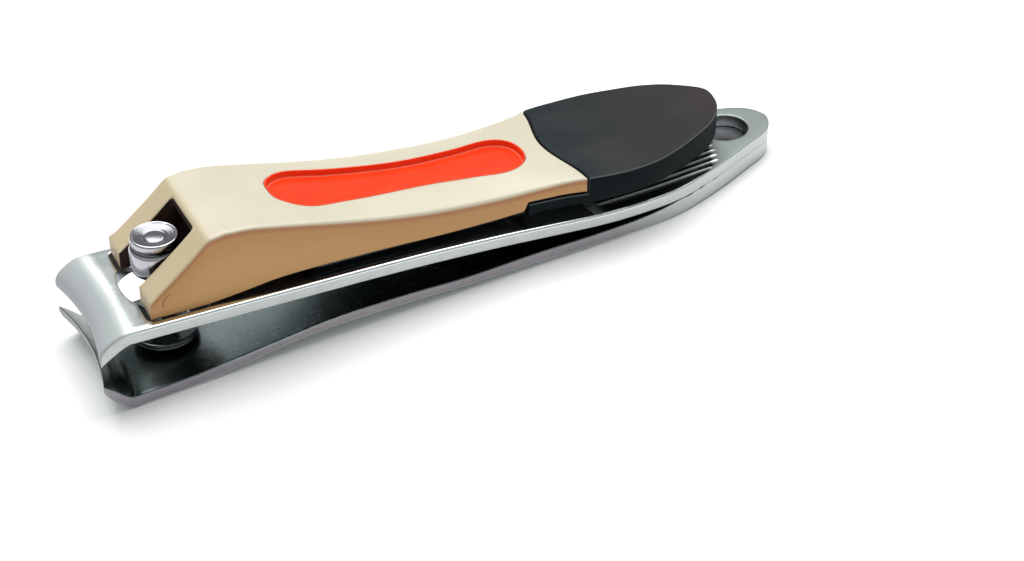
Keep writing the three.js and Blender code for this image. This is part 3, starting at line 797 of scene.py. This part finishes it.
# ------------------------------------------------------------------ lever
HUMP, RIDGE = (5.3, 8.04), (3.5, 7.68)
back_top = smooth([HUMP, (8, 7.86), (10.5, 7.37), (13, 6.84), (18, 5.76), (23, 4.84), (28, 4.22), (35.5, 3.8),
                   (40.5, 3.95), (45.3, 4.2), (50, 4.17), (55, 4.4), (60, 4.95), (GRIP_END_X + 1, 5.35)])
crown = smooth([(NOSE_X, 0), (2, 0), (5.5, 0), (8, 0.15), (14, 0.6), (19, 0.82), (25, 1.05), (36, 1.1),
                (40, 0.85), (43, 0.4), (47, 0.0), (52, -0.12), (60, -0.12), (GRIP_END_X + 1, 0)])
half_width = smooth([(NOSE_X - 1, 6.66), (10, 6.58), (20, 6.63), (28, 6.8), (35.5, 6.9), (40.5, 7.15),
                     (43, 7.37), (46, 7.95), (48.5, 8.2), (51, 8.25), (53.5, 8.05), (56, 7.45), (60, 5.95),
                     (62.5, 4.5), (64.5, 2.6), (GRIP_END_X, 0.9)])
cover_low = smooth([(NOSE_X, 0.14), (2.4, 0.14), (5.2, 0.38), (7.4, 0.64), (10.1, 1.0), (13, 1.15), (20, 1.2),
                    (35, 1.25), (STEP_X, 1.5)])
grip_low = smooth([(14, 0.75), (38, 0.7), (46, 0.8), (52, 1.05), (58, 1.35), (GRIP_END_X, 1.55)])


def raw_top(x):
    """The lever's top edge in side view: the nose, the ridge, and the back behind the hump."""
    slope = np.interp(x, [NOSE_X - 1, NOSE_X, -0.74, 1.5, RIDGE[0], HUMP[0]],
                      [1.3, 2.12, 3.9, 5.82, RIDGE[1], HUMP[1]])
    return np.where(x < HUMP[0], slope, back_top(np.maximum(x, HUMP[0])))


edge_top = softened(raw_top, 0.2)


def lever_top_z(x, y):
    across = np.clip(y / half_width(x), -1.05, 1.05)
    return edge_top(x) + crown(x) * (1 - across ** 2)


def ogee(y, offset=0.0):
    """The joint between the cover and the grip, in plan."""
    return 44.45 - 0.75 * np.cos(np.pi * np.asarray(y) / 7.8) + offset


def inlay_outline(grow=0.0):
    """The inlay's outline, counter-clockwise, made larger by grow."""
    half = [(12.2, 0), (12.75, 2.1), (15.4, 3.7), (20, 3.35), (28, 2.78), (34, 3.05), (38.2, 3.42),
            (40.6, 2.25), (41.3, 0)]
    near = [(x, -y) for x, y in half]
    line = near + half[::-1][1:-1]
    whole = curve([line[-1]] + line + [line[0], line[1]])
    start = np.argmin(np.linalg.norm(whole - line[0], axis=1))
    end = len(whole) - 1 - np.argmin(np.linalg.norm(whole[::-1] - line[0], axis=1))
    return inset(whole[start:end], -grow)


def side_line(x0, x1, sign, extra):
    """Points along one side of the lever, those at the x of extra among them."""
    xs = np.unique(np.concatenate([spread(x0, x1, 0.35), extra]))
    return [(x, sign * float(half_width(x))) for x in xs]


COVER_END = 44.0
for _ in range(20):
    COVER_END = float(ogee(half_width(COVER_END)))      # settles where the ogee meets the sides


def cover():
    """The painted shell, with the slot between its legs, the hollow for the post's head and the cavity."""
    head_x0, head_x1, cavity_x0, cavity_x1, cavity_y = 5.4, 12.5, 14.5, 38.5, 5.3
    b = Builder()
    steps = np.array([37.9, 38.05, 38.2, 38.3, 38.4, 38.5, 38.6, 38.75])
    near = side_line(NOSE_X, COVER_END, -1, steps)
    w = float(half_width(COVER_END))
    end = [(float(ogee(y)), y) for y in np.linspace(-w, w, 46)[1:-1]]
    far = side_line(NOSE_X, COVER_END, 1, steps)[::-1]
    r = 0.45
    slot = ([(NOSE_X, SLOT_Y)] + [*arc(SLOT_X - r, SLOT_Y - r, r, 90, 0, 6)]
            + [*arc(SLOT_X - r, -SLOT_Y + r, r, 0, -90, 6)] + [(NOSE_X, -SLOT_Y)])
    outline = dense(np.array(near + end + far + slot))
    x, y = outline.T
    on_side = np.abs(np.abs(y) - half_width(x)) < 1e-3
    radius = np.where(x < NOSE_X + 0.01, 0.22, np.where(on_side, 0.42, 0.16))

    def top(plan):
        return np.column_stack([plan, lever_top_z(plan[:, 0], plan[:, 1])])

    def low(plan):
        x, y = plan.T
        ramp = np.clip((x - 38.15) / 0.45, 0, 1)
        z = cover_low(np.minimum(x, STEP_X)) * (1 - ramp) + 2.5 * ramp
        z = np.where((np.abs(y) < SLOT_Y - 0.01) & (x > SLOT_X - 0.25) & (x < head_x0), 6.2, z)
        z = np.where((np.abs(y) < SLOT_Y) & (x >= head_x0) & (x < head_x1), 4.4, z)
        z = np.where((np.abs(y) < cavity_y) & (x > cavity_x0) & (x < cavity_x1), 2.3, z)
        return np.column_stack([plan, z])

    sides = (-STEP_SIDE, STEP_SIDE)
    breaks = [v + t for v in (head_x0, head_x1, cavity_x0, cavity_x1) for t in sides]
    xs = np.unique(np.concatenate([spread(NOSE_X, 44.6, 0.6), breaks, steps]))
    breaks = [s * (v + t) for s in (-1, 1) for v in (SLOT_Y, cavity_y) for t in sides]
    ys = np.unique(np.concatenate([spread(-7, 7, 0.7), breaks]))
    pocket = inlay_outline()[::-1]
    top_grid = lattice(np.concatenate([spread(NOSE_X, 8, 0.2), spread(8.4, 44.6, 0.45)]), spread(-7, 7, 0.45))
    # the slot's walls take the dark painted shade of the inside
    middle = np.abs(y) < SLOT_Y + 1e-3
    in_slot = middle & np.roll(middle, -1) & (x < SLOT_X + 0.01)
    plate(b, [(outline, radius, 0.12, np.where(in_slot, 2, 1))], top, low, (top_grid, lattice(xs, ys)),
          (0, 0, 1, 2), pockets=[(pocket, 0.14, 1.5, lattice(spread(12, 42, 0.7), spread(-4, 4, 0.7)))])
    # the narrow front faces of the legs keep more of the top's cream, painted as lit faces, not shaded walls
    for k, part in enumerate(b.points):
        b.below[k] = np.where(part[:, 0] < NOSE_X + 0.03, np.minimum(b.below[k], 0.16), b.below[k])
    return b.object("lever_cover_shell", [PAINT, PAINT, INSIDE], 40)


def inlay():
    """The dish: a thin rim, a steep lip and a floor that follows the lever's top."""
    b = Builder()
    loop = inlay_outline(-0.05)
    surface = lambda plan: lever_top_z(plan[:, 0], plan[:, 1])
    levels = [(0.0, 0.03), (0.06, 0.02), (0.10, 0.04), (0.16, 0.4), (0.2, 0.62), (0.28, 0.73),
              (0.42, INLAY_FLOOR)]
    bottom = b.ring(np.column_stack([loop, surface(loop) - INLAY_BOTTOM]))
    rings = [bottom]
    for move, depth in levels:
        plan = inset(loop, move)
        rings.append(b.ring(np.column_stack([plan, surface(plan) - depth]), depth))
    for p, q in zip(rings, rings[1:]):
        b.bridge(p, q)
    grid = lattice(spread(12, 42, 0.45), spread(-4, 4, 0.45))
    b.fill([(rings[-1], plan)], grid, lambda p: np.column_stack([p, surface(p) - INLAY_FLOOR]))
    b.below[-1] = np.full(len(b.below[-1]), INLAY_FLOOR)
    b.fill([(bottom, loop)], grid, lambda p: np.column_stack([p, surface(p) - INLAY_BOTTOM]))
    return b.object("lever_inlay_dish", [INLAY], 50)


def grip():
    """The thumb pad. Its front runs on under the cover's stepped end."""
    b = Builder()
    front = STEP_X + 0.3
    steps = [COVER_END + GRIP_GAP + t for t in (-0.06, -0.02, 0.02, 0.16)]
    near = side_line(front, 62.5, -1, steps)
    tip = curve([(62.5, -4.5), (63.5, -3.6), (64.4, -2.5), (64.95, -1.45), (65.3, -0.3), (65.45, 0.9),
                 (65.2, 1.95), (64.2, 3.1), (62.5, 4.5)], 0.3)[1:-1]
    far = side_line(front, 62.5, 1, steps)[::-1]
    outline = dense(np.array(near + [*map(tuple, tip)] + far))

    def top(plan):
        x, y = plan.T
        d = x - ogee(y, GRIP_GAP)
        rim = np.clip((0.16 - d) / 0.14, 0, 1)
        z = np.where(d > 0, lever_top_z(x, y) - 0.13 * rim ** 2, 2.25)
        return np.column_stack([plan, z])

    def low(plan):
        return np.column_stack([plan, grip_low(plan[:, 0])])

    w = float(half_width(COVER_END)) - 0.25
    line = np.linspace(-w, w, 44)
    chains = [np.column_stack([ogee(line, GRIP_GAP + t), line]) for t in (-0.02, 0.02, 0.09, 0.16)]
    grid = lattice(spread(front, GRIP_END_X, 0.4), spread(-8, 8, 0.4))
    plate(b, [(outline, 0.15, 0.7)], top, low, (grid, grid), (0, 0, 0, 0), chains=(chains, ()))
    return b.object("lever_grip_pad", [GRIP], 35)


def tongue():
    """The grip's tongue under the cover, with the thin plate that shows below the cover's edge."""
    b = Builder()
    x0, x1, y0, y1 = 14.75, STEP_X + 0.2, 5.0, 6.15
    r = 0.6
    corners = [*arc(x0 + r, -y1 + r, r, 180, 270, 7), (x1, -y1), (x1, y1),
               *arc(x0 + r, y1 - r, r, 90, 180, 7)]
    outline = dense(np.array(corners), 0.5)
    low = lambda plan: np.column_stack([plan, np.full(len(plan), 0.62)])

    def top(plan):
        x, y = plan.T
        return np.column_stack([plan, np.where((np.abs(y) < y0) & (x > x0 + 0.3) & (x < 38.2), 2.0, 0.95)])

    e = STEP_SIDE
    xs = [x0 + 0.3 - e, x0 + 0.3 + e, *spread(15.6, 37.6, 0.8), 38.2 - e, 38.2 + e]
    grid = lattice(xs, [-5.6, -y0 - e, -y0 + e, -3, -1.5, 0, 1.5, 3, y0 - e, y0 + e, 5.6])
    plate(b, [(outline, 0.08, 0.14)], top, low, (grid, grid), (0, 0, 0, 0))
    return b.object("lever_grip_tongue", [GRIP], 35)


# ------------------------------------------------------------------ turned pieces
def post():
    b = Builder()
    profile = [(0, -8.3), (2.05, -8.3), (2.2, -8.2), (2.2, -8.0), (2.1, -7.9), (1.4, -7.9), (1.4, 0.7),
               (1.5, 0.95), (1.9, 1.2), (2.35, 1.42), (2.6, 1.65), (2.66, 1.9), (2.7, 3.0), (2.7, 3.9),
               (2.64, 4.15), (2.52, 4.32), (2.4, 4.42), (2.38, 4.55), (2.42, 4.7), (2.47, 4.82),
               (2.5, 4.98), (2.5, 5.3), (2.47, 5.45), (2.4, 5.55), (2.3, 5.58), (2.22, 5.55),
               (2.14, 5.47), (2.06, 5.44), (1.4, 5.42), (1.3, 5.38), (1.2, 5.3), (1.08, 5.28),
               (0.98, 5.34), (0.9, 5.37), (0, 5.37)]
    slots = [0] * (len(profile) - 1)
    for k, (p, q) in enumerate(zip(profile, profile[1:])):
        if p[1] > 5.2 and max(p[0], q[0]) < 2.18:
            slots[k] = 1                # the head's face, inside its rim
        # painted shade: the shaft between the arms and the groove under the head take the dark steel
        elif q[1] < 1.0 or 4.3 < p[1] < 4.75:
            slots[k] = 2                # the shaft and the groove under the head
    lathe(b, profile, 96, slots=slots)
    return b.object("post_turned", [CHROME_POST, POST_FACE, COLLAR_AND_SHADE_STEEL], 40)


def collar():
    b = Builder()
    lathe(b, [(1.5, -6.62), (3.2, -6.62), (3.38, -6.58), (3.48, -6.48), (3.5, -6.38), (3.46, -6.28),
              (3.4, -6.22), (3.46, -6.14), (3.5, -6.04), (3.47, -5.93), (3.38, -5.86), (3.25, -5.85),
              (2.6, -5.87), (2.4, -5.93), (1.6, -5.95), (1.5, -5.95)])
    return b.object("post_collar_ring", [COLLAR_AND_SHADE_STEEL], 40)


def cross_pin():
    b = Builder()
    lathe(b, [(0, -5.6), (0.48, -5.6), (0.57, -5.54), (0.6, -5.4), (0.6, 5.4), (0.57, 5.54), (0.48, 5.6),
              (0, 5.6)], 32, "y", (0, 0, HINGE_Z))
    return b.object("lever_cross_pin_steel", [PIN_STEEL], 40)


upper = upper_arm()
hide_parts("upper_arm")
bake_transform(upper)
for maker, body, node, slot_name in [
        (lower_arm, "lower_arm", "lower_arm", "arm_chrome"),
        (cover, "lever", "lever_cover", "cover_paint"),
        (inlay, "lever", "lever_inlay", "inlay_plastic"),
        (grip, "lever", "lever_grip", "grip_plastic"),
        (tongue, "lever", None, "grip_plastic"),
        (post, "post", "post", "post_chrome"),
        (collar, "post", "post_collar", "post_chrome"),
        (cross_pin, "lever", "lever_cross_pin", "pin_steel")]:
    piece = maker()
    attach(piece, body)
    if node:
        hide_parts(node)

# ------------------------------------------------------------------ stage
def floor():
    mesh = bpy.data.meshes.new("floor")
    s, z = 1.6, -0.00002        # half the side, and just under the table's plane
    mesh.from_pydata([(-s, -s, z), (s, -s, z), (s, s, z), (-s, s, z)], [], [(0, 1, 2, 3)])
    m = Nodes("floor_paper", Base_Color=(0.93, 0.93, 0.93, 1), Roughness=0.9)
    m.bump((m.noise((0.4, 0.4, 0.4), 3), 0.02, 0.02))
    mesh.materials.append(m.material)
    o = bpy.data.objects.new("floor", mesh)
    bpy.context.scene.collection.objects.link(o)


def overhead_light():
    """A soft box that faces the origin."""
    place = Vector((0.10, 0.16, 0.50))
    data = bpy.data.lights.new("overhead", "AREA")
    data.shape, data.size, data.size_y = "RECTANGLE", 0.60, 0.50
    data.energy = 4.1
    o = bpy.data.objects.new("overhead", data)
    o.location = place
    o.rotation_euler = (-place).to_track_quat("-Z", "Y").to_euler()
    bpy.context.scene.collection.objects.link(o)


def studio():
    """Pale floor, one soft light, and a grey room that is a little darker on the far side."""
    floor()
    overhead_light()
    world = bpy.data.worlds.new("studio")
    world.use_nodes = True
    tree = world.node_tree
    background = tree.nodes["Background"]
    direction = tree.nodes.new("ShaderNodeTexCoord")
    facing = tree.nodes.new("ShaderNodeVectorMath")
    facing.operation = "DOT_PRODUCT"
    facing.inputs[1].default_value = (0.45, 0.89, 0.0)
    ramp = tree.nodes.new("ShaderNodeValToRGB")
    stops = (0.25, (0.44, 0.45, 0.46, 1)), (0.85, (0.40, 0.415, 0.42, 1))
    for element, (position, tint) in zip(ramp.color_ramp.elements, stops):
        element.position, element.color = position, tint
    half = tree.nodes.new("ShaderNodeMapRange")
    half.inputs["From Min"].default_value = -1.0
    tree.links.new(direction.outputs["Generated"], facing.inputs[0])
    tree.links.new(facing.outputs["Value"], half.inputs["Value"])
    tree.links.new(half.outputs[0], ramp.inputs[0])
    tree.links.new(ramp.outputs[0], background.inputs[0])
    background.inputs[1].default_value = 1.0
    bpy.context.scene.world = world
    view = bpy.context.scene.view_settings
    view.view_transform, view.look, view.exposure, view.gamma = "Standard", "None", 0.0, 1.0


def camera():
    """The viewing angle, as a turn and a height angle in the clipper's frame."""
    turn, height, roll = math.radians(63.04), math.radians(34.96), math.radians(0.62)
    r = Vector((math.sin(turn), -math.cos(turn), 0))
    v = Vector((math.cos(height) * math.cos(turn), math.cos(height) * math.sin(turn), -math.sin(height)))
    u = r.cross(v)
    r2, u2 = math.cos(roll) * r + math.sin(roll) * u, math.cos(roll) * u - math.sin(roll) * r
    data = bpy.data.cameras.new("camera")
    data.sensor_width, data.lens = 36.0, 72.91
    data.clip_start, data.clip_end = 0.01, 10.0
    o = bpy.data.objects.new("camera", data)
    bpy.context.scene.collection.objects.link(o)
    turn_to = Matrix((r2, u2, -v)).transposed()
    o.matrix_world = (Matrix.Translation(TO_FRAME @ Vector((-46.30, -170.32, 121.18)))
                      @ (TO_FRAME.to_3x3().normalized() @ turn_to).to_4x4())
    bpy.context.scene.camera = o


studio()
camera()
